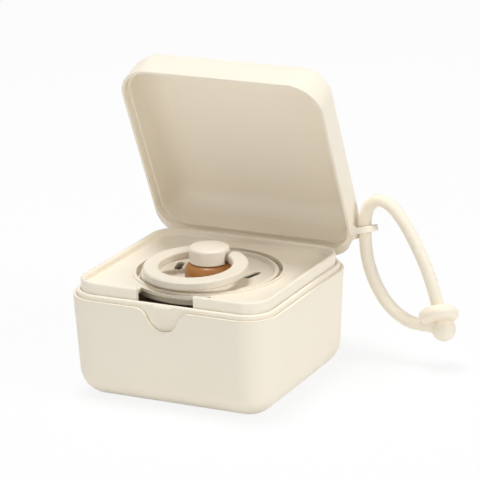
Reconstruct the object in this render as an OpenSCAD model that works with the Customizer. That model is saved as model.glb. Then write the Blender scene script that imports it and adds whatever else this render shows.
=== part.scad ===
// Pacifier sterilizer case: a two-layer base with a water basin, a lift-out tray, a hinged lid with
// a hanging strap, and the pacifier that sits teat-down in the tray.
// The frame: origin at the centre of the base's flat foot, +X to the right along the front,
// +Y towards the hinge, +Z up. Sizes are in millimetres. The lid is drawn open, as it rests.

/* [Case] */
// Width of the case at the parting line, left to right
case_width = 72; // [66:0.5:84]
// Depth of the case at the parting line, front to back
case_depth = 69; // [64:0.5:80]
// Plan radius of the case's corners
corner_radius = 11; // [10.5:0.25:14]

/* [Outer shell] */
// Height of the outer shell, foot to rim
shell_height = 33.8; // [32:0.1:44]
// Wall of the outer shell below its lip
shell_wall = 1.8; // [1.4:0.1:2.2]
// Floor of the outer shell
shell_floor = 2; // [1.4:0.1:3]
// Draw-in of each side from the rim to the foot
shell_taper = 1.9; // [0.5:0.05:2.2]
// Radius of the rounded edge round the foot
foot_radius = 9.2; // [6:0.1:10]
// Thickness of the thin lip that hides the basin's band
lip_wall = 1.05; // [0.8:0.05:1.2]
// Height of that lip
lip_height = 9.6; // [8:0.1:12]
// Depth of the finger dip in the front of the rim
dip_depth = 7.2; // [4:0.1:8]
// Radius of the dip's rounded bottom
dip_radius = 5.6; // [4:0.1:8]
// Radius of the dip's rounded shoulders
dip_shoulder = 4.4; // [2:0.1:6]

/* [Water basin] */
// Wall of the water basin
basin_wall = 1.2; // [1:0.05:1.8]
// Height of the basin's band above the outer shell's rim
basin_rise = 1.6; // [1.2:0.1:2]
// Radius of the band's top edges
basin_edge = 0.5; // [0.2:0.05:0.6]
// Depth of the ledge that carries the tray, below the shell's rim
ledge_drop = 3.7; // [3:0.1:6]
// Width of the catch on the front of the band
catch_width = 6.7; // [4:0.1:10]
// Height of the catch
catch_height = 1.3; // [1:0.1:2.5]
// Stand-off of the catch from the band
catch_stand = 0.45; // [0.2:0.05:0.5]

/* [Tray] */
// Wall of the tray
tray_wall = 1.5; // [1.2:0.1:2]
// Height of the tray's lip above the shell's rim
tray_rise = 5.3; // [4.5:0.1:6.5]
// Depth of the tray's floor below its lip
tray_well = 2.4; // [1.5:0.1:3]
// Thickness of the tray's floor
tray_floor = 1.2; // [1:0.1:1.6]
// Radius of the tray lip's top edges
tray_edge = 0.6; // [0.2:0.05:0.7]
// Width of the finger notch in the front wall
notch_width = 20; // [14:0.5:26]
// Width of the cut in the floor behind that notch
notch_floor = 24.6; // [20:0.2:30]
// Land left between the seat's bore and the notch
notch_land = 2.75; // [2:0.05:4]
// Depth of the seat's ledge below the tray's floor
seat_drop = 2.3; // [2:0.1:3.5]
// Radius of the opening that the teat hangs through
teat_opening = 18.8; // [15:0.1:19.5]
// Height of the bead round the seat
seat_bead = 0.45; // [0.1:0.05:0.6]

/* [Lid] */
// Height of the lid
lid_height = 16.4; // [15.5:0.1:22]
// Wall of the lid
lid_wall = 1.8; // [1.3:0.1:2.2]
// Radius of the lid's rounded crown
crown_radius = 10; // [6:0.1:10.2]
// Thickness of the lid's lip, which passes outside the basin's band
lid_lip = 0.9; // [0.7:0.05:0.9]
// Depth of the step inside that lip
lid_step = 2.4; // [2:0.1:4]
// Extra thickness of the lid's back wall, which carries the hinge
lid_back = 2.4; // [1:0.1:2.4]
// Angle from closed at which the lid rests open
lid_open = 65.7; // [40:0.1:100]

/* [Hinge] */
// Radius of the hinge knuckles
knuckle_radius = 2; // [1.6:0.05:2.4]
// Distance of the hinge axis behind the back face
hinge_back = 2; // [1.8:0.05:2.6]
// Height of the hinge axis above the shell's rim
hinge_rise = 0.7; // [0.4:0.05:1.2]
// Radius of the hinge pin
pin_radius = 0.9; // [0.6:0.05:1.1]
// Half length of the lid's middle knuckle
knuckle_inner = 9.7; // [6:0.1:12]
// Length of each of the base's knuckles
knuckle_base = 8; // [5:0.1:10]
// Length of each of the lid's end knuckles
knuckle_end = 7.7; // [4:0.1:9]

/* [Strap] */
// Diameter of the strap
strap_diameter = 4.2; // [4:0.1:4.6]
// Bore radius of the eyelet on the lid's side
eyelet_bore = 3.1; // [3:0.05:3.4]
// Wall of the eyelet's loop
eyelet_wall = 1.1; // [1:0.1:2]
// Thickness of the eyelet's loop
eyelet_thickness = 2.1; // [1.4:0.1:2.1]
// Distance of the eyelet from the lid's back face
eyelet_back = 7.2; // [6.8:0.1:7.6]
// Height of the eyelet above the lid's rim
eyelet_rise = 4.6; // [4.4:0.1:4.8]
// Slope of the eyelet's bore from the lid's rim
eyelet_slope = 35; // [0:1:40]
// Lean of the eyelet's loop along the strap
eyelet_lean = 14; // [0:1:18]
// Radius of the flat tab on the strap's end
tab_radius = 6.6; // [5.5:0.1:8]
// Thickness of the tab
tab_thickness = 4; // [3:0.1:5]
// Radius of the ball that closes the strap
ball_radius = 4; // [3.5:0.1:5]

/* [Pacifier] */
// Radius of the pacifier's shield
shield_radius = 22.5; // [21.5:0.1:24]
// Wall of the shield
shield_wall = 1.6; // [1.2:0.1:2]
// Width of the raised rim round the shield
shield_rim = 1.7; // [1.2:0.1:2.5]
// Height of that rim above the dished face
rim_rise = 1; // [0.5:0.1:1.5]
// Dish of the shield, from its rim to its middle
shield_dish = 0.5; // [0:0.1:0.8]
// Length of each vent
vent_length = 7.2; // [5:0.1:9]
// Width of each vent
vent_width = 2.5; // [1.5:0.1:3]
// Distance of each vent from the middle
vent_offset = 13.2; // [12.5:0.1:15]
// Radius of the amber collar round the knob
collar_radius = 8.1; // [7.5:0.1:9]
// Height of that collar above the shield's face
collar_height = 4.6; // [3.5:0.1:5]
// Radius of the teat's bulb
bulb_radius = 9; // [7:0.1:10]
// Length of the teat below the shield
teat_length = 24.5; // [20:0.1:25.5]
// Wall of the teat
teat_wall = 1.6; // [1:0.1:2]
// Radius of the knob
knob_radius = 6.6; // [6:0.1:7.2]
// Height of the knob
knob_height = 5.2; // [4.6:0.1:5.5]
// Radius of the knob's top edge
knob_edge = 1; // [0.5:0.1:1.5]
// Radius of the post behind the knob's front, between the ring's ends
post_radius = 4.9; // [4.2:0.1:5.2]
// Thickness of the cap that covers the post
cap_thickness = 1.4; // [1:0.1:1.8]
// Radius of the knob's stem
stem_radius = 3.6; // [3:0.1:4]
// Outer radius of the ring handle
ring_radius = 16.9; // [15.5:0.1:17.5]
// Width of the ring handle's band
ring_band = 5; // [4:0.1:5.4]
// Thickness of the ring handle
ring_thickness = 2.9; // [2.2:0.1:3]
// Distance of the ring's studs behind the knob's centre
stud_back = 2.74; // [2.4:0.02:3.1]
// Droop of the ring's front, as it rests
ring_droop = 3.3; // [2:0.1:4]
// Radius of the studs that the ring turns on
stud_radius = 1.25; // [1:0.05:1.4]

/* [Hidden] */
$fn = 96;
// Colours
cream = [0.95, 0.91, 0.84];
ivory = [0.96, 0.93, 0.87];
amber = [0.69, 0.44, 0.16];
steel = [0.75, 0.76, 0.78];
// Clearances: between fixed layers, moving lips, the tray, a bore and its shaft, and hinge knuckles
layer_gap = 0.15;
basin_gap = 0.3;
lip_gap = 0.3;
tray_gap = 0.25;
rest_gap = 0.2;
shaft_gap = 0.05;
knuckle_gap = 0.3;
relief_gap = 0.35;
seat_gap = 1.25;
ring_gap = 0.3;
over = 1;
// Levels of the base
rim_z = shell_height;
lip_z = rim_z - lip_height;
foot_r = min(foot_radius, corner_radius - shell_taper - 0.1);
foot_inset = shell_taper * (1 - foot_r / shell_height);
band_inset = lip_wall + layer_gap;
band_inner = band_inset + basin_wall;
band_z = rim_z + basin_rise;
basin_z = shell_floor + basin_gap;
ledge_z = rim_z - ledge_drop;
catch_top = band_z - basin_edge + 0.4;
back_y = case_depth / 2;
front_y = -case_depth / 2;
// Levels of the tray
tray_inset = band_inner + tray_gap;
tray_z = ledge_z + rest_gap;
tray_top = rim_z + tray_rise;
floor_z = tray_top - tray_well;
under_z = floor_z - tray_floor;
seat_radius = shield_radius + seat_gap;
seat_z = floor_z - seat_drop;
cup_radius = seat_radius + tray_floor;
land_radius = seat_radius + notch_land;
// Levels of the lid, closed
lid_z = rim_z + lip_gap;
lid_top = lid_z + lid_height;
crown_inset = 0.25;
lid_inner = lid_wall + crown_inset;
crown_r = min(crown_radius, corner_radius - crown_inset - 0.1);
// The hinge
hinge_y = back_y + hinge_back;
hinge_z = rim_z + hinge_rise;
relief_radius = knuckle_radius + relief_gap;
base_start = knuckle_inner + knuckle_gap;
base_end = base_start + knuckle_base;
end_start = base_end + knuckle_gap;
end_end = end_start + knuckle_end;
web_reach = 7.5;
// The eyelet, with the lid closed
eyelet_x = case_width / 2 + eyelet_bore + 0.05;
eyelet_y = back_y - eyelet_back;
eyelet_z = lid_z + eyelet_rise;
eyelet_reach = 6;
lid_side = case_width / 2 - 4;
// The pacifier
shield_z = seat_z + rest_gap + 0.1;
rim_top = floor_z + 0.15;
face_z = rim_top - rim_rise;
hub_z = face_z - shield_dish;
hub_radius = 9;
flange_radius = 9.5;
vent_back = 4.3;
neck_radius = 6.8;
knob_z = hub_z + collar_height;
knob_top = knob_z + knob_height;
ring_end_x = knob_radius + ring_gap;
pivot_y = stud_back;
ring_offset = sqrt(pow(ring_radius - ring_band / 2, 2) - pow(ring_end_x, 2)) - pivot_y;
ring_end_r = 1.9;
ring_ear = 2.1;
stud_inner = 3;
pivot_z = knob_z + 1.5;
stem_z = hub_z - 3.2;
teat_z = hub_z - shield_wall - teat_length;
// The strap's route, left leg first: it leaves the tab's neck, runs up through the eyelet and over,
// and comes down through the tab to the ball
strap_y = 36.5;
strap_route = [[58.4, 14.2], [55.5, 14.4], [52.5, 15.6], [49.4, 17.6], [46.4, 20.6], [43.9, 24.2], [41.9, 28.2],
    [40.4, 32.6], [39.5, 37], [39.2, 41], [39.2, 44.6], [39.2, 48.1], [40, 51.5], [41.6, 53.9], [43.9, 55],
    [46.8, 54.5], [49.8, 52.3], [53.7, 47.3], [57.8, 40], [61.4, 32], [64.3, 23], [66, 16.4]];
strap_sides = 12;
strap_steps = 3;
tab_tilt = 6;
tab_pitch = 20;
end_tilt = 15;
tab_offset = 0.6;
tab_lift = 0.3;
ball_flat = sqrt(ball_radius * ball_radius - strap_diameter * strap_diameter / 4);
strap_end = strap_route[len(strap_route) - 1];
strap_start = strap_route[0];

// Draw-in of the outer shell's side at a height
function taper_at(z) = shell_taper * (1 - z / shell_height);

// Section points [draw-in, height] of a rounded edge at the foot of a form
function foot_arc(inset, r, z, steps = 7) =
    [for (k = [0:steps]) [inset + r * (1 - sin(90 * k / steps)), z + r * (1 - cos(90 * k / steps))]];

// Section points of a rounded edge at the top of a form
function crown_arc(inset, r, z, steps = 7) =
    [for (k = [0:steps]) [inset + r * (1 - cos(90 * k / steps)), z - r * (1 - sin(90 * k / steps))]];

// Point where a line from p touches a circle, on the side given by +1 or -1
function tangent_point(p, c, r, side) =
    let (d = norm(p - c), a = atan2(p[1] - c[1], p[0] - c[0]) + side * acos(r / d))
    c + r * [cos(a), sin(a)];

// Point on a smooth curve through a list, at segment i and fraction t
function curve_point(p, i, t) =
    let (n = len(p), a = p[max(i - 1, 0)], b = p[i], c = p[min(i + 1, n - 1)], d = p[min(i + 2, n - 1)])
    0.5 * (2 * b + (c - a) * t + (2 * a - 5 * b + 4 * c - d) * t * t + (3 * b - a - 3 * c + d) * t * t * t);

// A form with the case's plan, built from its section of [draw-in, height] points, bottom to top
module case_form(section, w = case_width, d = case_depth, r = corner_radius) {
    low = section[0][1];
    high = section[len(section) - 1][1];
    for (x = [-1, 1], y = [-1, 1])
        translate([x * (w / 2 - r), y * (d / 2 - r), 0])
            rotate_extrude()
                polygon(concat([[0, low]], [for (p = section) [r - p[0], p[1]]], [[0, high]]));
    rotate([90, 0, 90])
        linear_extrude(w - 2 * r, center = true)
            polygon(concat([for (p = section) [d / 2 - p[0], p[1]]],
                [for (k = [len(section) - 1:-1:0]) [section[k][0] - d / 2, section[k][1]]]));
    rotate([90, 0, 0])
        linear_extrude(d - 2 * r, center = true)
            polygon(concat([for (p = section) [w / 2 - p[0], p[1]]],
                [for (k = [len(section) - 1:-1:0]) [section[k][0] - w / 2, section[k][1]]]));
}

// A cylinder along X from x0 to x1, at a place in the YZ plane
module bar_x(x0, x1, y, z, r) {
    translate([x0, y, z])
        rotate([0, 90, 0])
            cylinder(h = x1 - x0, r = r);
}

// A knuckle on the hinge axis with its web down (-1) or up (+1) to a wall
module knuckle(x0, x1, side, root_y, root_z) {
    axis = [hinge_y, hinge_z];
    tip = [root_y, hinge_z + side * web_reach];
    touch = tangent_point(tip, axis, knuckle_radius, side < 0 ? 1 : -1);
    bar_x(x0, x1, hinge_y, hinge_z, knuckle_radius);
    translate([x0, 0, 0])
        rotate([90, 0, 90])
            linear_extrude(x1 - x0)
                polygon([tip, [root_y, root_z], axis, touch]);
}

// The dip's outline in the front view, with a rounded bottom and flared shoulders
module dip_outline() {
    low_z = rim_z - dip_depth + dip_radius;
    shoulder_z = rim_z - dip_shoulder;
    reach = dip_radius + dip_shoulder;
    shoulder_x = sqrt(reach * reach - pow(low_z - shoulder_z, 2));
    share = dip_radius / reach;
    meet = [shoulder_x * share, low_z + (shoulder_z - low_z) * share];
    difference() {
        union() {
            translate([0, low_z])
                circle(dip_radius);
            polygon([[-shoulder_x, rim_z + over], [-shoulder_x, rim_z], [-meet[0], meet[1]],
                meet, [shoulder_x, rim_z], [shoulder_x, rim_z + over]]);
        }
        for (x = [-1, 1])
            translate([x * shoulder_x, shoulder_z])
                circle(dip_shoulder);
    }
}

module outer_shell() {
    color(cream)
        difference() {
            union() {
                case_form(concat(foot_arc(foot_inset, foot_r, 0), [[0, rim_z]]));
                for (x = [-base_end, base_start])
                    knuckle(x, x + knuckle_base, -1, back_y - 0.9, rim_z - 0.1);
            }
            case_form(concat(
                foot_arc(foot_inset + shell_wall, foot_r - shell_wall, shell_floor),
                [[shell_wall + taper_at(lip_z), lip_z], [lip_wall + taper_at(lip_z), lip_z],
                [lip_wall, rim_z], [lip_wall, rim_z + over]]));
            translate([0, front_y + lip_wall + taper_at(lip_z) + 1, 0])
                rotate([90, 0, 0])
                    linear_extrude(lip_wall + taper_at(lip_z) + 2)
                        dip_outline();
            for (x = [-end_end, -knuckle_inner, end_start])
                bar_x(x - knuckle_gap, x + knuckle_gap + (x == -knuckle_inner ? 2 * knuckle_inner : knuckle_end),
                    hinge_y, hinge_z, relief_radius);
            bar_x(-base_end - over, base_end + over, hinge_y, hinge_z, pin_radius + shaft_gap);
        }
}

module inner_basin() {
    low = shell_wall + basin_gap;
    color(cream) {
        difference() {
            case_form(concat(
                foot_arc(foot_inset + low, foot_r - low, basin_z),
                [[low + taper_at(lip_z), lip_z + layer_gap], [band_inset + taper_at(lip_z), lip_z + layer_gap]],
                [[band_inset, rim_z]],
                crown_arc(band_inset, basin_edge, band_z, 3)));
            case_form(concat(
                foot_arc(foot_inset + low + basin_wall, foot_r - low - basin_wall, basin_z + basin_wall),
                [[low + basin_wall + taper_at(ledge_z), ledge_z], [band_inner, ledge_z],
                [band_inner, band_z + over]]));
        }
        intersection() {
            translate([0, front_y + band_inset + 0.4, 0])
                rotate([90, 0, 0])
                    linear_extrude(0.4 + catch_stand)
                        catch_outline(catch_width, catch_height);
            catch_slope(catch_width, catch_height);
        }
    }
}

// The catch seen from the front, a small bar with rounded lower corners
module catch_outline(w, h) {
    r = 0.7;
    translate([-w / 2, catch_top - h + r])
        square([w, h - r]);
    translate([-w / 2 + r, catch_top - h])
        square([w - 2 * r, r]);
    for (x = [-1, 1])
        translate([x * (w / 2 - r), catch_top - h + r])
            circle(r);
}

// The catch seen from the side, a wedge that leads the lid over it
module catch_slope(w, h) {
    root = front_y + band_inset;
    translate([-w, 0, 0])
        rotate([90, 0, 90])
            linear_extrude(2 * w)
                polygon([[root + 0.4, catch_top], [root, catch_top], [root - catch_stand, catch_top - h + 0.6],
                    [root - catch_stand, catch_top - h], [root + 0.4, catch_top - h]]);
}

module hinge_pin() {
    color(steel)
        bar_x(-end_end + 0.3, end_end - 0.3, hinge_y, hinge_z, pin_radius);
}

module tray() {
    inner = tray_inset + tray_wall;
    fillet = 0.8;
    color(ivory)
        difference() {
            union() {
                difference() {
                    case_form(concat([[tray_inset, tray_z]], crown_arc(tray_inset, tray_edge, tray_top, 3),
                        crown_arc(inner - tray_edge, 0, tray_top, 1)));
                    case_form(concat(foot_arc(inner, fillet, floor_z, 4),
                        [[inner, tray_top - tray_edge], [inner - tray_edge, tray_top], [inner - tray_edge,
                        tray_top + over]]));
                    case_form([[inner, tray_z - over], [inner, under_z]]);
                    front_notch();
                }
                translate([0, 0, seat_z - tray_floor])
                    cylinder(h = floor_z - seat_z + tray_floor, r = cup_radius);
                translate([0, 0, floor_z])
                    cylinder(h = seat_bead, r = seat_radius + 1.1);
            }
            translate([0, 0, seat_z])
                cylinder(h = tray_top - seat_z, r = seat_radius);
            translate([0, 0, seat_z - tray_floor - over])
                cylinder(h = tray_floor + 2 * over, r = teat_opening);
        }
}

// The finger notch: the front wall is cut down, and behind it the floor is cut back to the seat's land
module front_notch() {
    r = 1.2;
    low = tray_z + 1.8;
    wall_back = front_y + tray_inset + tray_wall + 0.4;
    difference() {
        translate([-notch_width / 2, front_y, low])
            cube([notch_width, wall_back - front_y, tray_top - low + over]);
        for (x = [-1, 1])
            translate([x * notch_width / 2, 0, low])
                notch_corner(x, r);
    }
    difference() {
        translate([-notch_floor / 2, front_y + tray_inset + tray_wall, low])
            cube([notch_floor, -front_y - tray_inset - tray_wall, tray_top - low + over]);
        translate([0, 0, low - over])
            cylinder(h = tray_top - low + 3 * over, r = land_radius);
    }
}

// Fills the notch's lower corner, so that its outline is rounded there
module notch_corner(side, r) {
    translate([0, front_y - over, 0])
        rotate([-90, 0, 0])
            linear_extrude(-front_y + 2 * over)
                difference() {
                    translate([side > 0 ? -r : 0, -r])
                        square(r);
                    translate([-side * r, -r])
                        circle(r);
                }
}

// Turns the closed lid about its hinge to where it rests
module lid_placed() {
    translate([0, hinge_y, hinge_z])
        rotate([-lid_open, 0, 0])
            translate([0, -hinge_y, -hinge_z])
                children();
}

// Moves a form to the eyelet's centre on the closed lid and slopes it
module eyelet_placed() {
    translate([eyelet_x, eyelet_y, eyelet_z])
        rotate([-eyelet_slope, 0, 0])
            rotate([0, 0, -eyelet_lean])
                children();
}

// The loop on the lid's side, centred on its bore: a ring seen along Y, flared at its root in the wall
module eyelet() {
    outer = eyelet_bore + eyelet_wall;
    root_x = case_width / 2 - 3 - eyelet_x;
    wall_x = case_width / 2 - eyelet_x;
    flare = 1.6;
    half = eyelet_thickness / 2;
    intersection() {
        translate([0, half + flare, 0])
            rotate([90, 0, 0])
                linear_extrude(eyelet_thickness + 2 * flare)
                    union() {
                        circle(outer);
                        translate([root_x, -outer])
                            square([-root_x, 2 * outer]);
                    }
        translate([0, 0, -outer - over])
            linear_extrude(2 * outer + 2 * over)
                difference() {
                    union() {
                        translate([root_x, -half])
                            square([outer - half - root_x, eyelet_thickness]);
                        translate([outer - half, 0])
                            circle(half);
                        translate([root_x, -half - flare])
                            square([wall_x + flare - root_x, eyelet_thickness + 2 * flare]);
                    }
                    for (y = [-1, 1])
                        translate([wall_x + flare, y * (half + flare)])
                            circle(flare);
                }
    }
}

module lid_closed() {
    difference() {
        union() {
            translate([0, lid_back / 2, 0])
                case_form(concat([[0, lid_z], [crown_inset / 2, lid_z + 3]],
                    crown_arc(crown_inset, crown_r, lid_top, 8)), d = case_depth + lid_back);
            knuckle(-knuckle_inner, knuckle_inner, 1, back_y - 0.7, lid_z + 0.05);
            for (x = [-end_end, end_start])
                knuckle(x, x + knuckle_end, 1, back_y - 0.7, lid_z + 0.05);
            eyelet_placed()
                eyelet();
        }
        case_form(concat([[lid_lip, lid_z - over], [lid_lip, lid_z + lid_step], [lid_inner, lid_z + lid_step]],
            crown_arc(lid_inner, crown_r - lid_wall, lid_top - lid_wall, 8)));
        translate([0, front_y + band_inset - catch_stand + 0.25, 0])
            rotate([90, 0, 0])
                linear_extrude(0.25 + lip_gap)
                    translate([-catch_width / 2 - lip_gap, lid_z - over])
                        square([catch_width + 2 * lip_gap, over + lid_step]);
        for (x = [-base_end, base_start])
            bar_x(x - knuckle_gap, x + knuckle_base + knuckle_gap, hinge_y, hinge_z, relief_radius);
        bar_x(-end_end - over, end_end + over, hinge_y, hinge_z, pin_radius + shaft_gap);
        eyelet_placed()
            translate([0, -4, 0])
                rotate([-90, 0, 0])
                    cylinder(h = 8, r = eyelet_bore);
        translate([lid_side, eyelet_y - eyelet_reach, lid_z - 2 * eyelet_reach])
            cube([2 * eyelet_reach, 2 * eyelet_reach, 2 * eyelet_reach]);
    }
}

module lid() {
    color(cream)
        lid_placed()
            lid_closed();
}

// The strap's tube: rings square to a smooth curve through the route, joined ring to ring
module strap_cord() {
    count = (len(strap_route) - 1) * strap_steps + 1;
    path = [for (k = [0:count - 1])
        let (i = min(floor(k / strap_steps), len(strap_route) - 2))
        curve_point(strap_route, i, k / strap_steps - i)];
    rings = [for (k = [0:count - 1])
        let (d = path[min(k + 1, count - 1)] - path[max(k - 1, 0)],
            t = k == 0 ? [-1, 0] : k == count - 1 ? [sin(end_tilt), -cos(end_tilt)] : d / norm(d))
        for (s = [0:strap_sides - 1])
            let (a = 360 * s / strap_sides, out = strap_diameter / 2 * cos(a))
            [path[k][0] - t[1] * out, strap_y + strap_diameter / 2 * sin(a), path[k][1] + t[0] * out]];
    n = strap_sides;
    sides = [for (k = [0:count - 2], s = [0:n - 1])
        let (u = (s + 1) % n)
        each [[k * n + s, k * n + u, (k + 1) * n + u], [k * n + s, (k + 1) * n + u, (k + 1) * n + s]]];
    ends = [[for (s = [n - 1:-1:0]) s], [for (s = [0:n - 1]) (count - 1) * n + s]];
    color(ivory)
        polyhedron(points = rings, faces = concat(sides, ends));
}

// Places a piece on the strap's end, with +Z up along the strap
module strap_end_placed(rise) {
    translate([strap_end[0], strap_y, strap_end[1]])
        rotate([0, -end_tilt, 0])
            translate([0, 0, rise])
                children();
}

// The tab's disc, lying flatter than the strap's end stands
module tab_disc() {
    edge = tab_thickness * 0.45;
    rotate_extrude()
        union() {
            translate([0, -tab_thickness / 2])
                square([tab_radius - edge, tab_thickness]);
            translate([0, edge - tab_thickness / 2])
                square([tab_radius, tab_thickness - 2 * edge]);
            for (z = [-1, 1])
                translate([tab_radius - edge, z * (tab_thickness / 2 - edge)])
                    circle(edge);
        }
}

module strap_tab() {
    neck_length = 6;
    neck_radius = strap_diameter / 2 + 0.15;
    color(ivory)
        difference() {
            union() {
                translate([strap_end[0], strap_y, strap_end[1]])
                    rotate([0, -tab_tilt, 0])
                        translate([-tab_offset, 0, tab_lift + tab_thickness / 2])
                            rotate([-tab_pitch, 0, 0])
                                tab_disc();
                bar_x(strap_start[0], strap_start[0] + neck_length, strap_y, strap_start[1], neck_radius);
            }
            strap_end_placed(-over)
                cylinder(h = tab_thickness + 5 * over, r = strap_diameter / 2 + layer_gap);
            strap_end_placed(-ball_flat)
                sphere(ball_radius + layer_gap);
        }
}

module strap_ball() {
    color(ivory)
        strap_end_placed(-ball_flat)
            intersection() {
                sphere(ball_radius);
                translate([0, 0, ball_flat - 2 * ball_radius])
                    cylinder(h = 2 * ball_radius, r = 2 * ball_radius);
            }
}

module pacifier_shield() {
    rim_inner = shield_radius - shield_rim;
    seat_inner = teat_opening - 0.6;
    lip = 0.4;
    color(ivory)
        difference() {
            rotate_extrude()
                polygon(concat(
                    [[neck_radius + shaft_gap, hub_z - shield_wall], [neck_radius + shaft_gap, hub_z],
                    [hub_radius, hub_z]],
                    [for (k = [1:5]) let (r = hub_radius + (rim_inner - lip - hub_radius) * k / 5)
                        [r, hub_z + shield_dish * pow(k / 5, 2)]],
                    [[rim_inner, rim_top - lip], [rim_inner + lip, rim_top], [shield_radius - lip, rim_top],
                    [shield_radius, rim_top - lip], [shield_radius, shield_z + lip],
                    [shield_radius - lip, shield_z], [seat_inner, shield_z], [seat_inner - 1, hub_z - shield_wall]]));
            for (x = [-1, 1])
                translate([x * vent_offset, vent_back, hub_z - shield_wall - over])
                    rotate([0, 0, -x * 15])
                        vent();
        }
}

// A vent: a slot with round ends along Y
module vent() {
    half = (vent_length - vent_width) / 2;
    linear_extrude(shield_wall + shield_dish + 2 * over) {
        square([vent_width, 2 * half], center = true);
        for (y = [-half, half])
            translate([0, y])
                circle(vent_width / 2);
    }
}

module pacifier_nipple() {
    bulb_z = teat_z + bulb_radius;
    flange_z = hub_z - shield_wall - 0.1;
    flange_low = flange_z - 1.4;
    waist = 6;
    waist_z = flange_low - 2.6;
    dome_foot = hub_z + 0.05;
    widest_z = hub_z + 1.6;
    dome_top = knob_z - shaft_gap;
    top_radius = knob_radius - 1;
    outer = concat(
        [for (k = [0:9]) bulb_radius * [sin(12 * k), 0] + [0, bulb_z - bulb_radius * cos(12 * k)]],
        [[waist + 1.2, waist_z - 3], [waist, waist_z], [waist, flange_low - 0.6], [waist + 0.6, flange_low],
        [flange_radius, flange_low], [flange_radius, flange_z], [neck_radius, flange_z], [neck_radius, dome_foot],
        [collar_radius - 0.5, dome_foot], [collar_radius, dome_foot + 0.6]],
        [for (k = [0:4]) [top_radius + (collar_radius - top_radius) * cos(22.5 * k),
            widest_z + (dome_top - widest_z) * sin(22.5 * k)]]);
    bore = stem_radius + shaft_gap;
    inner = concat([[bore, dome_top], [bore, stem_z - 0.4], [waist - teat_wall, stem_z - 1.4],
        [waist - teat_wall, waist_z]],
        [for (k = [8:-1:0]) (bulb_radius - teat_wall) * [sin(14 * k), 0]
            + [0, bulb_z - (bulb_radius - teat_wall) * cos(14 * k)]]);
    color(amber)
        rotate_extrude()
            polygon(concat(outer, inner));
}

module pacifier_plug() {
    cap_z = knob_top - cap_thickness;
    notch_y = pivot_y - 1.35;
    notch_r = 3.2;
    color(ivory)
        difference() {
            union() {
                rotate_extrude()
                    polygon(concat([[0, knob_z]],
                        [[knob_radius - 0.3, knob_z], [knob_radius, knob_z + 0.3]],
                        [for (k = [0:5]) [knob_radius - knob_edge * (1 - cos(18 * k)),
                            knob_top - knob_edge * (1 - sin(18 * k))]],
                        [[0, knob_top]]));
                translate([0, 0, stem_z])
                    cylinder(h = knob_z - stem_z + 0.5, r = stem_radius);
            }
            difference() {
                rotate([90, 0, 90])
                    linear_extrude(2 * (knob_radius + over), center = true)
                        difference() {
                            union() {
                                translate([notch_y, pivot_z])
                                    circle(notch_r);
                                translate([notch_y, knob_z - over])
                                    square([2 * knob_radius, cap_z - knob_z + over]);
                            }
                            translate([-2 * knob_radius, cap_z])
                                square([4 * knob_radius, notch_r]);
                        }
                translate([0, 0, stem_z - over])
                    cylinder(h = knob_top - stem_z, r = post_radius);
            }
            bar_x(-knob_radius - over, knob_radius + over, pivot_y, pivot_z, stud_radius + shaft_gap);
        }
}

// The ring's ear seen from the side: round behind its stud, longer and rounded in front of it
module ring_ear_outline(half) {
    circle(half);
    intersection() {
        circle(ring_ear);
        translate([-ring_ear, 0.15 - half])
            square([ring_ear, 2 * half - 0.3]);
    }
}

// The ring handle in its own plane, centred on its pivot, before it is tilted to where it rests
module ring_flat() {
    centre_y = -ring_offset - pivot_y;
    edge = 0.45;
    half = ring_thickness / 2;
    inner = ring_radius - ring_band;
    difference() {
        translate([0, centre_y, 0])
            rotate_extrude()
                polygon([[inner + edge, -half], [ring_radius - edge, -half], [ring_radius, edge - half],
                    [ring_radius, half - edge], [ring_radius - edge, half], [inner + edge, half],
                    [inner, half - edge], [inner, edge - half]]);
        translate([-ring_end_x, centre_y + 2, -half - over])
            cube([2 * ring_end_x, ring_radius, ring_thickness + 2 * over]);
        rotate([90, 0, 90])
            linear_extrude(2 * ring_radius, center = true)
                difference() {
                    translate([0, -half - over])
                        square([ring_radius, ring_thickness + 2 * over]);
                    circle(ring_end_r);
                }
    }
    for (x = [-1, 1])
        mirror([x < 0 ? 1 : 0, 0, 0]) {
            bar_x(stud_inner, ring_end_x, 0, 0, stud_radius);
            translate([post_radius + ring_gap, 0, 0])
                rotate([90, 0, 90])
                    linear_extrude(ring_end_x + 0.6 - post_radius - ring_gap)
                        ring_ear_outline(half);
        }
}

module pacifier_ring() {
    color(ivory)
        translate([0, pivot_y, pivot_z])
            rotate([ring_droop, 0, 0])
                ring_flat();
}

outer_shell();
inner_basin();
hinge_pin();
tray();
lid();
strap_cord();
strap_tab();
strap_ball();
pacifier_shield();
pacifier_nipple();
pacifier_plug();
pacifier_ring();
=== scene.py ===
# %% [markdown]
# # A pacifier sterilizer case
# The real object is a small moulded box for boiling or steaming a pacifier: a two-layer base that holds
# water, a lift-out tray with a seat for the pacifier's shield, a domed lid on a hinge and a soft strap on
# the lid's side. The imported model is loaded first, because every piece below is fitted to it in metres.

# %% Load the frame
import math

import bmesh
import bpy
from mathutils import Matrix, Vector


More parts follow.
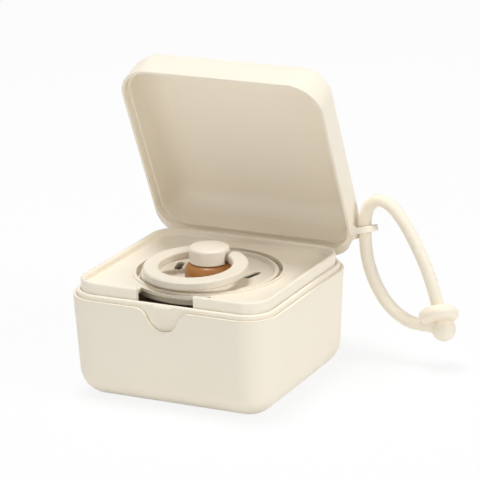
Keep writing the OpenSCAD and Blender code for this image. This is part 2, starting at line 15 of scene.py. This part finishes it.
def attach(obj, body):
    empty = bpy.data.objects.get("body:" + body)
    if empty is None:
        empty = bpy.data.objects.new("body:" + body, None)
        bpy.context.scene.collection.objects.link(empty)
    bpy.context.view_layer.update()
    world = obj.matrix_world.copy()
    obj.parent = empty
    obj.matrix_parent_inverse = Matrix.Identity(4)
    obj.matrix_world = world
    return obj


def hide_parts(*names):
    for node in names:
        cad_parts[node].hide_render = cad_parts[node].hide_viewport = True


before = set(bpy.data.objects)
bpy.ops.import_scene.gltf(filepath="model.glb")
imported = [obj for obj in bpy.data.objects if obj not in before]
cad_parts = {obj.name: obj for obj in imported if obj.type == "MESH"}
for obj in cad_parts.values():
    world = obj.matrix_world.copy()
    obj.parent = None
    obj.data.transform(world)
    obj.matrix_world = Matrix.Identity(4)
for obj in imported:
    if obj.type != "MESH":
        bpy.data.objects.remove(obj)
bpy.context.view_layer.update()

mm = 0.001
print("nodes:", sorted(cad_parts))


# %% [markdown]
# ## The camera
# The photograph looks down on the case from the front right, from far away through a long lens, so the
# box's edges hardly converge. The camera is placed by three angles worked out from those edges, and its
# matrix is built from the directions to its right, up and back, which avoids guessing Euler angles.

# %% Camera
camera_yaw, camera_pitch, camera_roll = -0.45816, 0.30584, -0.02406
camera_place = (0.3699, -0.72734, 0.30446)


def camera_axes(yaw, pitch, roll):
    ahead = Vector((math.sin(yaw) * math.cos(pitch), math.cos(yaw) * math.cos(pitch), -math.sin(pitch)))
    level = Vector((math.cos(yaw), -math.sin(yaw), 0))
    above = level.cross(ahead)
    right = math.cos(roll) * level + math.sin(roll) * above
    up = -math.sin(roll) * level + math.cos(roll) * above
    return right, up, -ahead


camera = bpy.data.cameras.new("camera")
camera.lens = 199.03
camera.sensor_width = 36
camera.clip_end = 20
camera_object = bpy.data.objects.new("camera", camera)
bpy.context.collection.objects.link(camera_object)
turn = Matrix(camera_axes(camera_yaw, camera_pitch, camera_roll)).transposed()
camera_object.matrix_world = Matrix.Translation(camera_place) @ turn.to_4x4()
bpy.context.scene.camera = camera_object
print("camera looks along", [round(v, 3) for v in -turn.col[2]])


# %% [markdown]
# ## The strap
# The strap is a solid silicone cord, a little over 4 mm thick. It runs from the tab's neck up through the
# lid's eyelet, over in a tight bow and down through the tab to the ball. It could be a mesh swept ring by
# ring, but a curve with a round bevel is simpler, and its points are the very ones that the solid follows.

# %% The strap's route, left leg first
strap_plane = 36.5
strap_diameter = 4.2
strap_knots = [
    (58.4, 14.2), (55.5, 14.4), (52.5, 15.6), (49.4, 17.6), (46.4, 20.6), (43.9, 24.2), (41.9, 28.2),
    (40.4, 32.6), (39.5, 37), (39.2, 41), (39.2, 44.6), (39.2, 48.1), (40, 51.5), (41.6, 53.9), (43.9, 55),
    (46.8, 54.5), (49.8, 52.3), (53.7, 47.3), (57.8, 40), (61.4, 32), (64.3, 23), (66, 16.4),
]
steps = 4


def curve_point(knots, place):
    """A point on the smooth curve through the knots, at a whole number plus a fraction."""
    i = min(int(place), len(knots) - 2)
    t = place - i
    last = len(knots) - 1
    a, b, c, d = (knots[min(max(i + k, 0), last)] for k in (-1, 0, 1, 2))
    return [
        0.5 * (2 * b[k] + (c[k] - a[k]) * t + (2 * a[k] - 5 * b[k] + 4 * c[k] - d[k]) * t ** 2
               + (3 * b[k] - a[k] - 3 * c[k] + d[k]) * t ** 3)
        for k in range(2)
    ]


strap_path = []
for k in range((len(strap_knots) - 1) * steps + 1):
    x, z = curve_point(strap_knots, k / steps)
    strap_path.append(Vector((x * mm, strap_plane * mm, z * mm)))


# %% The strap's curve
def smooth_tube(name, path, diameter):
    curve = bpy.data.curves.new(name, "CURVE")
    curve.dimensions = "3D"
    spline = curve.splines.new("POLY")
    spline.points.add(len(path) - 1)
    for point, place in zip(spline.points, path):
        point.co = (*place, 1)
    spline.use_smooth = True
    curve.bevel_depth = diameter / 2
    curve.bevel_resolution = 7
    curve.use_fill_caps = True
    tube = bpy.data.objects.new(name, curve)
    bpy.context.collection.objects.link(tube)
    return tube


strap_tube = smooth_tube("strap_tube", strap_path, strap_diameter * mm)
print("strap points:", len(strap_path))


# %% [markdown]
# ## Shader maths
# A material is easier to read as a sum than as a web of nodes. One small class wraps a socket, so that
# adding or scaling two of them adds the Math node for it, and one method makes every other node.

# %% A socket that can be added and multiplied
class Wire:
    def __init__(self, finish, socket):
        self.finish = finish
        self.socket = socket

    def _math(self, kind, a, b):
        return self.finish.node("ShaderNodeMath", {"operation": kind}, {0: a, 1: b})

    def __add__(self, other):
        return self._math("ADD", self, other)

    def __radd__(self, other):
        return self._math("ADD", other, self)

    def __sub__(self, other):
        return self._math("SUBTRACT", self, other)

    def __rsub__(self, other):
        return self._math("SUBTRACT", other, self)

    def __mul__(self, other):
        return self._math("MULTIPLY", self, other)

    def __rmul__(self, other):
        return self._math("MULTIPLY", other, self)

    def __abs__(self):
        return self._math("ABSOLUTE", self, 0)

    def above(self, floor):
        return self._math("MAXIMUM", self, floor)

    def length_with(self, other):
        return self._math("POWER", self * self + other * other, 0.5)

    def ramp(self, start, end):
        """0 up to start, 1 from end on, smooth between them."""
        return self.finish.node(
            "ShaderNodeMapRange", {"interpolation_type": "SMOOTHSTEP"},
            {"Value": self, "From Min": start, "From Max": end})


# %% A node tree that is built by one method
class Finish:
    """A material, or the world, whose nodes are added one by one and fed to its shader."""

    def __init__(self, owner, shader="Principled BSDF"):
        owner.use_nodes = True
        self.owner = owner
        self.tree = owner.node_tree
        self.shader = self.tree.nodes[shader]

    def plug(self, socket, value):
        if isinstance(value, Wire):
            self.tree.links.new(value.socket, socket)
        else:
            socket.default_value = value

    def node(self, kind, settings=None, inputs=None, output=0):
        made = self.tree.nodes.new(kind)
        for key, value in (settings or {}).items():
            setattr(made, key, value)
        for key, value in (inputs or {}).items():
            self.plug(made.inputs[key], value)
        return Wire(self, made.outputs[output])

    def feed(self, **sockets):
        for key, value in sockets.items():
            self.plug(self.shader.inputs[key.replace("_", " ")], value)

    def place(self):
        return self.node("ShaderNodeTexCoord", output="Object")

    def axes(self):
        split = self.node("ShaderNodeSeparateXYZ", None, {0: self.place()}).socket.node
        return [Wire(self, socket) for socket in split.outputs]

    def noise(self, scale, detail=2, rough=0.5, at=None):
        return self.node(
            "ShaderNodeTexNoise", None,
            {"Vector": at or self.place(), "Scale": scale, "Detail": detail, "Roughness": rough},
        )

    def blend(self, factor, a, b):
        return self.node(
            "ShaderNodeMix", {"data_type": "RGBA", "clamp_factor": True},
            {0: factor, 6: (*a, 1) if isinstance(a, tuple) else a, 7: (*b, 1) if isinstance(b, tuple) else b},
            output=2,
        )

    def seen_by(self, first, *others):
        """1 for these kinds of ray, and 0 for the light that falls on the object."""
        seen = self.node("ShaderNodeLightPath", output=f"Is {first} Ray")
        for other in others:
            seen = seen.above(self.node("ShaderNodeLightPath", output=f"Is {other} Ray"))
        return seen


def new_finish(name):
    return Finish(bpy.data.materials.new(name))


def colour(red, green, blue):
    """A screen colour, 0 to 255, as the linear numbers that a shader takes."""
    def linear(value):
        value = value / 255
        return value / 12.92 if value < 0.04045 else ((value + 0.055) / 1.055) ** 2.4
    return linear(red), linear(green), linear(blue)


# %% [markdown]
# ## The moulded plastics
# The case is satin polypropylene: nearly even in colour, with a broad cloudiness from the melt, a fine
# spark-eroded grain from the mould and edges that the tool leaves a touch round. The grain is a bump from
# fine noise, and the round edges come from the Bevel node, which turns the normal near a sharp edge.

# %% Satin plastic
cloud_scale, cloud_contrast, cloud_shift = 28, 1.5, 0.25
grain_height = 0.03 * mm
roughness_spread = 0.10


def moulded(name, base, shade, roughness, grain, edge, grain_depth=0.25):
    finish = new_finish(name)
    cloud = finish.noise(cloud_scale)
    fine = finish.noise(grain, rough=0.6)
    finish.feed(Base_Color=finish.blend(cloud * cloud_contrast - cloud_shift, base, shade))
    finish.feed(Roughness=roughness + roughness_spread * (fine - 0.5))
    soft = finish.node("ShaderNodeBevel", {"samples": 4}, {"Radius": edge * mm})
    bump = finish.node(
        "ShaderNodeBump", None,
        {"Strength": grain_depth, "Distance": grain_height, "Height": fine, "Normal": soft},
    )
    finish.feed(Normal=bump)
    return finish


ivory, ivory_shade = colour(247, 238, 221), colour(244, 235, 217)
soft_ivory, soft_ivory_shade = colour(237, 228, 212), colour(233, 224, 207)
case_finish = moulded("case_plastic", ivory, ivory_shade, 0.46, 2600, 0.25)
tray_finish = moulded("tray_plastic", ivory, ivory_shade, 0.42, 3000, 0.2)
pacifier_finish = moulded("pacifier_plastic", soft_ivory, soft_ivory_shade, 0.38, 3400, 0.2)
print("plastics:", case_finish.owner.name, tray_finish.owner.name, pacifier_finish.owner.name)

# %% [markdown]
# ## Painted shade in the vents
# Two slanted slots let air through the shield, and hardly any light comes back out of them. The slots are
# cut in the solid, and shade is also painted on their walls: a distance to the slot's outline is worked out
# on the shield's own plane, and a dark painted shade is laid on the plastic inside it and just below the
# hub's face. The left one looks lighter in the photograph, so each vent's painted shade has its own strength.

# %% Painted shade in the vents
vent_x, vent_y, vent_turn = 13.2 * mm, 4.3 * mm, math.radians(15)
vent_length, vent_width = 7.2 * mm, 2.5 * mm
# strength of the painted shade in the left and right vent
vent_painted_shade = {-1: 0.45, 1: 0.97}
hub_z = 35.35 * mm


def vent_distance(x, y, side):
    """Distance from a vent's slot outline, in metres, negative inside it."""
    across = (x - side * vent_x) * math.cos(vent_turn) - (y - vent_y) * (side * math.sin(vent_turn))
    along = (x - side * vent_x) * (side * math.sin(vent_turn)) + (y - vent_y) * math.cos(vent_turn)
    past_end = (abs(along) - (vent_length - vent_width) / 2).above(0)
    return across.length_with(past_end) - vent_width / 2


shield_finish = moulded("shield_plastic", soft_ivory, soft_ivory_shade, 0.38, 3400, 0.2)
x, y, z = shield_finish.axes()
painted_vent_shade = 0
for side, dark in vent_painted_shade.items():
    # mask of painted shade, strongest inside each slot's outline
    painted_vent_shade = painted_vent_shade + dark * (1 - vent_distance(x, y, side).ramp(0.05 * mm, 0.3 * mm))
below_face = 1 - z.ramp(hub_z - 0.7 * mm, hub_z - 0.05 * mm)
plain_shield = Wire(shield_finish, shield_finish.shader.inputs["Base Color"].links[0].from_socket)
# painted shade: inside the vents and below the hub's face, the plastic is blended towards a dark olive that
# stands in for the shade in the slots
shield_finish.feed(Base_Color=shield_finish.blend(painted_vent_shade * below_face, plain_shield, colour(92, 85, 64)))
print("vents darkened on", shield_finish.owner.name)

# %% [markdown]
# ## The soft rubbers
# The strap is matte silicone, which picks up a faint bloom. The teat is natural latex: an amber that goes
# deeper where it is thick, with a wet-looking skin. A little subsurface light and a thin coat give that.

# %% Silicone and latex
strap_finish = moulded("strap_silicone", colour(248, 239, 221), colour(244, 234, 215), 0.55, 1800, 0.15)
strap_finish.feed(Sheen_Weight=0.08, Sheen_Roughness=0.4)

latex_finish = moulded("teat_latex", colour(172, 113, 38), colour(152, 94, 30), 0.34, 900, 0.15, 0.12)
latex_finish.feed(Coat_Weight=0.3, Coat_Roughness=0.2, Subsurface_Weight=0.15)
latex_finish.feed(Subsurface_Radius=(0.004, 0.002, 0.001), Subsurface_Scale=1.0)
print("rubbers:", strap_finish.owner.name, latex_finish.owner.name)

# %% [markdown]
# ## The hinge pin
# The pin is a straight piece of drawn steel wire. Drawing leaves long fine lines along it, so the noise
# that shades it is squeezed across the wire and stretched along X.

# %% Drawn wire
wire_finish = new_finish("pin_steel")
wire_place = wire_finish.node(
    "ShaderNodeMapping", None, {"Vector": wire_finish.place(), "Scale": (0.02, 1, 1)})
wire_lines = wire_finish.noise(9000, 3, 0.6, wire_place)
wire_finish.feed(Base_Color=wire_finish.blend(wire_lines, colour(196, 198, 202), colour(168, 170, 175)))
wire_finish.feed(Metallic=1.0, Roughness=0.22 + 0.25 * wire_lines)
wire_finish.feed(Normal=wire_finish.node(
    "ShaderNodeBump", None, {"Strength": 0.3, "Distance": 0.01 * mm, "Height": wire_lines}))
print("wire:", wire_finish.owner.name)


# %% [markdown]
# ## Moulded skins
# The solids of the hard pieces and the teat already have the right shape, but they arrive as loose
# triangles that shade flat. Each one is copied, its doubled corners are merged, and every edge that bends
# by less than a set angle is shaded smooth. The copy then stands for the solid and rides on its body.

# %% Copy a solid as one smooth skin
sharp_angle = math.radians(33)
merge_distance, sliver_length = 0.0005 * mm, 0.0002 * mm


def finish_piece(piece, finish, body, material_slot, *stands_for):
    piece.data.materials.clear()
    piece.data.materials.append(finish.owner)
    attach(piece, body)
    if stands_for:
        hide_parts(*stands_for)
    return piece


def to_object(shape, name):
    """A bmesh as a smooth object, with its sharp edges marked by their angle."""
    for face in shape.faces:
        face.smooth = True
    for edge in shape.edges:
        edge.smooth = len(edge.link_faces) == 2 and edge.calc_face_angle(0) < sharp_angle
    mesh = bpy.data.meshes.new(name)
    shape.to_mesh(mesh)
    shape.free()
    made = bpy.data.objects.new(name, mesh)
    bpy.context.collection.objects.link(made)
    return made


def skin(node, name):
    shape = bmesh.new()
    shape.from_mesh(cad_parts[node].data)
    bmesh.ops.remove_doubles(shape, verts=shape.verts, dist=merge_distance)
    bmesh.ops.dissolve_degenerate(shape, edges=shape.edges, dist=sliver_length)
    open_edges = sum(not e.is_manifold for e in shape.edges)
    print(name, "has", len(shape.faces), "faces and", open_edges, "open edges")
    return to_object(shape, name)


# %% The case's and the pacifier's skins
skins = [
    ("outer_shell", "shell_skin", case_finish, "base", "case_plastic"),
    ("inner_basin", "basin_skin", case_finish, "base", "case_plastic"),
    ("hinge_pin", "pin_skin", wire_finish, "base", "pin_steel"),
    ("tray", "tray_skin", tray_finish, "tray", "tray_plastic"),
    ("lid", "lid_skin", case_finish, "lid", "case_plastic"),
    ("pacifier_shield", "shield_skin", shield_finish, "pacifier", "pacifier_plastic"),
    ("pacifier_nipple", "teat_skin", latex_finish, "pacifier", "teat_rubber"),
    ("pacifier_plug", "plug_skin", pacifier_finish, "pacifier", "pacifier_plastic"),
    ("pacifier_ring", "ring_skin", pacifier_finish, "pacifier_ring", "pacifier_plastic"),
]
for node, name, finish, body, material_slot in skins:
    finish_piece(skin(node, name), finish, body, material_slot, node)

# %% [markdown]
# ## The strap's tab
# The tab is a thick soft button with a full round edge, moulded on the cord's other end through a short
# neck. In the photograph its front edge is lifted, so that its underside shows above the ball. Four corner
# points, the outer two of them bevelled, are spun round the button's axis. The neck is a short cone that
# runs into it, a little rounded at its mouth.

# %% Button
tab_radius, tab_thickness, tab_edge = 6.6 * mm, 4.3 * mm, 2.1 * mm
tab_shift = Vector((-0.8, 0, 1.8)) * mm
tab_tilt, tab_lift = math.radians(-6), math.radians(-35)
lifted_edge_axis = Vector((0.89, 0.45, 0))
same_place = 0.01 * mm


def tab_button(radius, thickness, edge):
    shape = bmesh.new()
    corners = [shape.verts.new((r, 0, z)) for r, z in (
        (0, -thickness / 2), (radius, -thickness / 2), (radius, thickness / 2), (0, thickness / 2))]
    for low, high in zip(corners, corners[1:]):
        shape.edges.new((low, high))
    bmesh.ops.bevel(
        shape, geom=corners[1:3], offset=edge, segments=9, profile=0.5, affect="VERTICES", material=-1)
    bmesh.ops.spin(
        shape, geom=shape.verts[:] + shape.edges[:], cent=(0, 0, 0), axis=(0, 0, 1), angle=math.tau,
        steps=72, use_merge=True)
    bmesh.ops.remove_doubles(shape, verts=shape.verts, dist=same_place)
    bmesh.ops.recalc_face_normals(shape, faces=shape.faces)
    return shape


tab = tab_button(tab_radius, tab_thickness, tab_edge)
seat = (
    Matrix.Translation(strap_path[-1]) @ Matrix.Rotation(tab_tilt, 4, "Y")
    @ Matrix.Translation(tab_shift) @ Matrix.Rotation(tab_lift, 4, lifted_edge_axis))
bmesh.ops.transform(tab, matrix=seat, verts=tab.verts)
print("button:", len(tab.faces), "faces")

# %% Neck
neck_length, neck_radius, neck_root_radius, neck_round = 6.2 * mm, 2.2 * mm, 2.4 * mm, 0.15 * mm
mouth = strap_path[0]
along_neck = Matrix.Translation(mouth + Vector((neck_length / 2, 0, 0)))
along_neck = along_neck @ Matrix.Rotation(math.radians(90), 4, "Y")
bmesh.ops.create_cone(
    tab, cap_ends=True, segments=40, radius1=neck_radius, radius2=neck_root_radius, depth=neck_length,
    matrix=along_neck)
lip = [edge for edge in tab.edges if all(abs(v.co.x - mouth.x) < same_place for v in edge.verts)]
bmesh.ops.bevel(
    tab, geom=lip, offset=neck_round, segments=2, profile=0.5, affect="EDGES", material=-1)
print("tab:", len(tab.faces), "faces, lip of", len(lip), "edges")
tab_piece = finish_piece(to_object(tab, "tab_button"), strap_finish, "strap", "strap_rubber", "strap_tab")

# %% [markdown]
# ## The strap's ball
# The ball under the tab stops the cord's end. A plain sphere stands where the solid has it, a little higher
# and nearer the loop, as the photograph shows it, so that it is pressed against the tab.

# %% Ball
ball_radius = 4 * mm
ball_back, ball_raise = 0.3 * mm, 0.4 * mm
ball_corners = [v.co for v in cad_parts["strap_ball"].data.vertices]
ball_middle = sum(ball_corners, Vector()) / len(ball_corners)
ball_low = min(corner.z for corner in ball_corners)
ball_place = Vector((ball_middle.x - ball_back, strap_plane * mm, ball_low + ball_radius + ball_raise))
ball = bmesh.new()
bmesh.ops.create_uvsphere(
    ball, u_segments=48, v_segments=32, radius=ball_radius, matrix=Matrix.Translation(ball_place))
ball_piece = finish_piece(
    to_object(ball, "strap_ball_round"), strap_finish, "strap", "strap_rubber", "strap_ball")
print("ball in mm:", [round(v * 1000, 2) for v in ball_place])

# %% [markdown]
# ## The strap as one cord
# The cord, its tab and its ball swing together on the lid's eyelet. The curve stands for the solid cord.

# %% The strap joins them
finish_piece(strap_tube, strap_finish, "strap", "strap_rubber", "strap_cord")

# %% [markdown]
# ## Floor, world and light
# The photograph shows the case cut out on white. The floor and the world are white to the camera and in
# reflections, and the floor keeps a small share of its own shading, so that the object still has a shadow
# under it. Broad lamps light the top and the right side more than the front. The overhead one is small and
# stands nearly straight above, so that the open lid shades the back of the tray.

# %% Floor
floor_whiteness = 0.86
floor_shape = bmesh.new()
bmesh.ops.create_grid(floor_shape, x_segments=1, y_segments=1, size=4)
floor = to_object(floor_shape, "floor")
floor_finish = new_finish("floor_white")
plain = floor_finish.node("ShaderNodeBsdfDiffuse", None, {"Color": (0.9, 0.9, 0.9, 1)})
glow = floor_finish.node("ShaderNodeEmission", None, {"Color": (1, 1, 1, 1), "Strength": 1.0})
floor_seen = floor_finish.seen_by("Camera", "Glossy")
share = floor_finish.node("ShaderNodeMixShader", None, {0: floor_seen * floor_whiteness, 1: plain, 2: glow})
floor_finish.plug(floor_finish.tree.nodes["Material Output"].inputs["Surface"], share)
floor.data.materials.append(floor_finish.owner)
print("floor:", len(floor.data.polygons), "face")

# %% World
world_light, world_white = 0.34, 1.0
studio = Finish(bpy.data.worlds.new("studio"), "Background")
bpy.context.scene.world = studio.owner
world_seen = studio.seen_by("Camera", "Glossy", "Transmission")
world_level = studio.node(
    "ShaderNodeMapRange", None, {"Value": world_seen, "To Min": world_light, "To Max": world_white})
studio.feed(Color=(1, 1, 1, 1), Strength=world_level)
print("world nodes:", len(studio.tree.nodes))

# %% Lamps
lamp_target = Vector((0, 0, 0.04))


def soft_lamp(name, place, size, power):
    lamp = bpy.data.lights.new(name, "AREA")
    lamp.shape = "DISK"
    lamp.size = size
    lamp.energy = power
    holder = bpy.data.objects.new(name, lamp)
    bpy.context.collection.objects.link(holder)
    aim = (lamp_target - Vector(place)).to_track_quat("-Z", "Y")
    holder.matrix_world = Matrix.Translation(place) @ aim.to_matrix().to_4x4()
    print("lamp", name, "at", place, "m")


soft_lamp("right_side", (1.5, -0.1, 0.75), 0.8, 9.6)
soft_lamp("front_low", (-0.1, -1.5, 0.2), 0.9, 4.1)
soft_lamp("overhead", (-0.12, 0.0, 1.5), 0.55, 12.3)
bpy.context.scene.view_settings.view_transform = "Standard"
